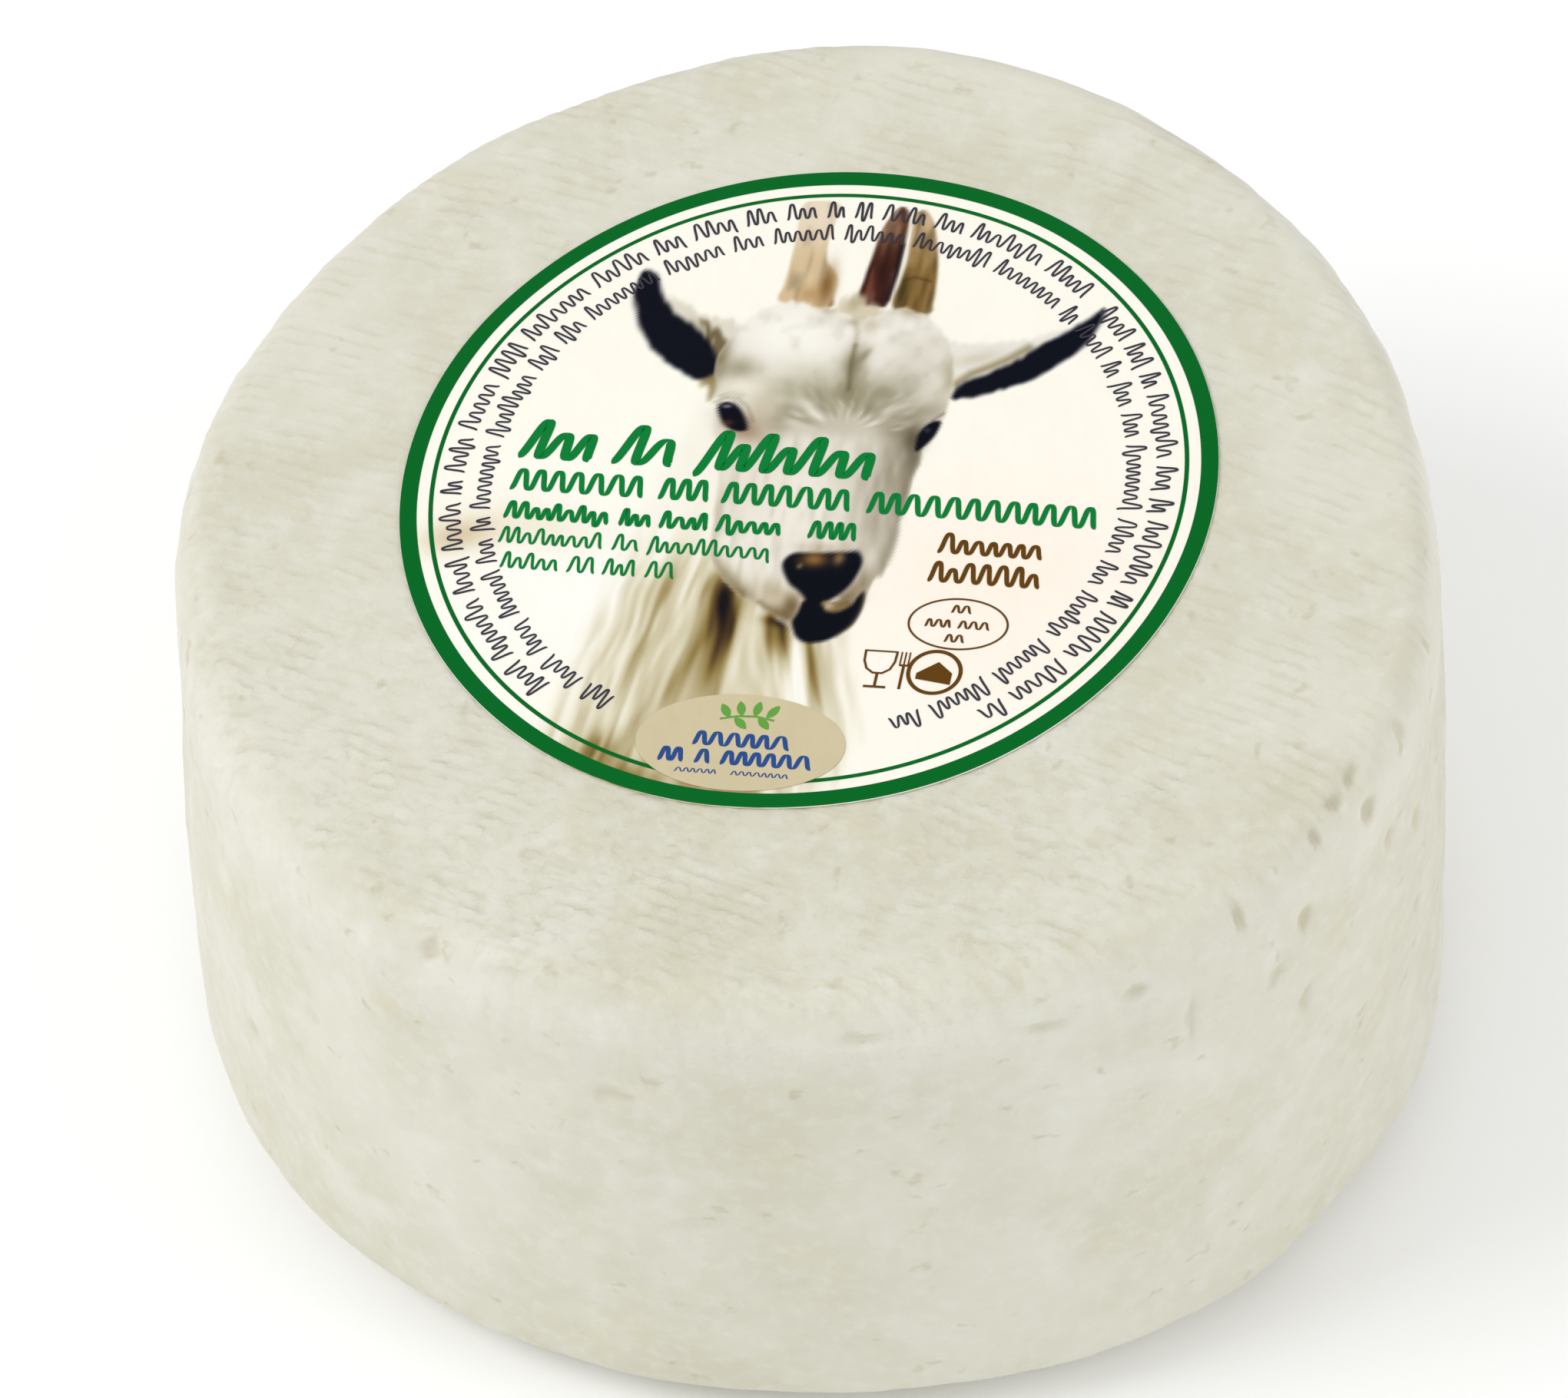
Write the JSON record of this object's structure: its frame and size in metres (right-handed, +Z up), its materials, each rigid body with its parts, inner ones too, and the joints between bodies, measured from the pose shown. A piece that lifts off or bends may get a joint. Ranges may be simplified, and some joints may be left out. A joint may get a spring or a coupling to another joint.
{
  "type": "cheese wheel",
  "caption": "Small tall wheel of fresh white goat cheese with softly worn edges and a round printed paper label on its slightly sloping top.",
  "frame": {"origin": "middle of the flat base that the wheel stands on", "axes": "+Z up through the wheel, +X towards the higher side of the sloping top, -Y towards the side that the label is read from"},
  "size_m": [0.1116, 0.1119, 0.0618],
  "materials": {
    "cheese": "moist, off-white fresh curd with fine cloth creases and small pits",
    "label_paper": "smooth cream paper, printed in dark green, brown and grey"
  },
  "bodies": {
    "root": {"cheese_wheel": "cheese", "paper_label": "label_paper"}
  },
  "joints": []
}
